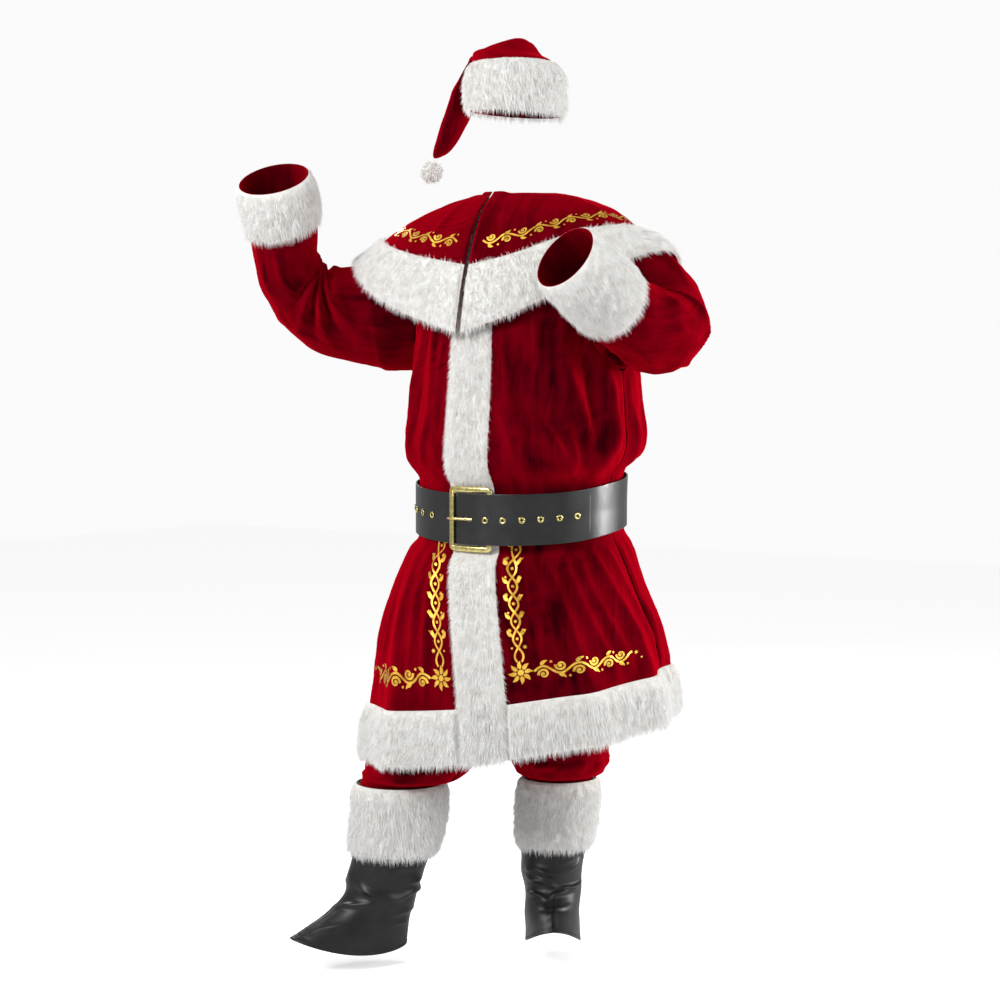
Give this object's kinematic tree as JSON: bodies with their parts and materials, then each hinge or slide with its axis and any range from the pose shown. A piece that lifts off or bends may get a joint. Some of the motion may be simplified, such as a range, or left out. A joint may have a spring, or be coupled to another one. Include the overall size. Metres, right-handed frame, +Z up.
{
  "type": "santa suit",
  "caption": "Hollow worn Santa suit of red velvet and white fur: coat, shoulder cape, trousers, hat, buckled black belt and black boot covers, one arm raised.",
  "frame": {"origin": "middle of the coat's neck opening, level with the wearer's shoulders, about 1.50 m above the floor that the wearer stands on", "axes": "+Z up, the suit faces -Y, the wearer's left is +X"},
  "size_m": [0.8941, 0.687, 1.809],
  "materials": {
    "velvet": "dark red velvet with a short pile",
    "fur": "long white plush fur",
    "vinyl": "black satin imitation leather",
    "brass": "polished"
  },
  "bodies": {
    "root": {"belt_strap": "vinyl", "boot_fur_left": "fur", "boot_fur_right": "fur", "boot_left": "vinyl", "boot_right": "vinyl", "buckle_frame": "brass", "buckle_prong": "brass", "cape": "velvet", "cape_fur": "fur", "coat_back": "velvet", "coat_front_left": "velvet", "coat_front_right": "velvet", "cuff_left": "fur", "cuff_right": "fur", "eyelet_01": "brass", "eyelet_02": "brass", "eyelet_03": "brass", "eyelet_04": "brass", "eyelet_05": "brass", "eyelet_06": "brass", "eyelet_10": "brass", "eyelet_11": "brass", "eyelet_12": "brass", "eyelet_13": "brass", "eyelet_14": "brass", "front_fur": "fur", "hat": "velvet", "hat_fur": "fur", "hem_fur_back": "fur", "hem_fur_left": "fur", "hem_fur_right": "fur", "pompom": "fur", "sleeve_left": "velvet", "sleeve_right_lower": "velvet", "sleeve_right_upper": "velvet", "trouser_left": "velvet", "trouser_right": "velvet", "waistband": "velvet"}
  },
  "joints": []
}
